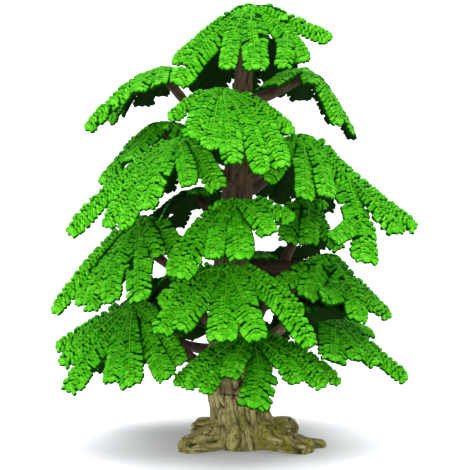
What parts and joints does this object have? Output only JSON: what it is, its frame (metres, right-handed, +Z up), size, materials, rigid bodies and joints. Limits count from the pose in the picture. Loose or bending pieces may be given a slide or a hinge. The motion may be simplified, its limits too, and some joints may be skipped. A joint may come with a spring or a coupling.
{
  "type": "plastic model ginkgo tree",
  "caption": "Small moulded plastic model of a broad conical tree: fluted trunk on a flat-bottomed foot of roots, boughs, and palm-like green fronds in tiers.",
  "frame": {"origin": "on the flat underside of the root foot, under the trunk", "axes": "+Z up along the trunk, -Y towards the front of the tree, +X to its right as seen from the front"},
  "size_m": [0.2112, 0.1968, 0.2589],
  "materials": {
    "root_and_trunk_bark": "matte",
    "bough_bark": "matte",
    "frond_green": "satin"
  },
  "bodies": {
    "root": {"bough_fourth_back": "bough_bark", "bough_fourth_front": "bough_bark", "bough_fourth_left_back": "bough_bark", "bough_fourth_right": "bough_bark", "bough_fourth_right_back": "bough_bark", "bough_low_back": "bough_bark", "bough_low_front": "bough_bark", "bough_low_left": "bough_bark", "bough_low_left_back": "bough_bark", "bough_low_right": "bough_bark", "bough_low_right_back": "bough_bark", "bough_second_front": "bough_bark", "bough_second_left": "bough_bark", "bough_second_left_back": "bough_bark", "bough_second_right": "bough_bark", "bough_second_right_back": "bough_bark", "bough_third_back": "bough_bark", "bough_third_front": "bough_bark", "bough_third_left": "bough_bark", "bough_third_left_back": "bough_bark", "bough_third_right": "bough_bark", "bough_top_back": "bough_bark", "bough_upper_back": "bough_bark", "bough_upper_left": "bough_bark", "bough_upper_right": "bough_bark", "frond_fourth_back": "frond_green", "frond_fourth_front": "frond_green", "frond_fourth_left_back": "frond_green", "frond_fourth_right": "frond_green", "frond_fourth_right_back": "frond_green", "frond_low_back": "frond_green", "frond_low_front": "frond_green", "frond_low_left": "frond_green", "frond_low_left_back": "frond_green", "frond_low_right": "frond_green", "frond_low_right_back": "frond_green", "frond_second_front": "frond_green", "frond_second_left": "frond_green", "frond_second_left_back": "frond_green", "frond_second_right": "frond_green", "frond_second_right_back": "frond_green", "frond_third_back": "frond_green", "frond_third_front": "frond_green", "frond_third_left": "frond_green", "frond_third_left_back": "frond_green", "frond_third_right": "frond_green", "frond_top_back": "frond_green", "frond_top_front": "frond_green", "frond_upper_back": "frond_green", "frond_upper_left": "frond_green", "frond_upper_right": "frond_green", "trunk": "root_and_trunk_bark"}
  },
  "joints": []
}
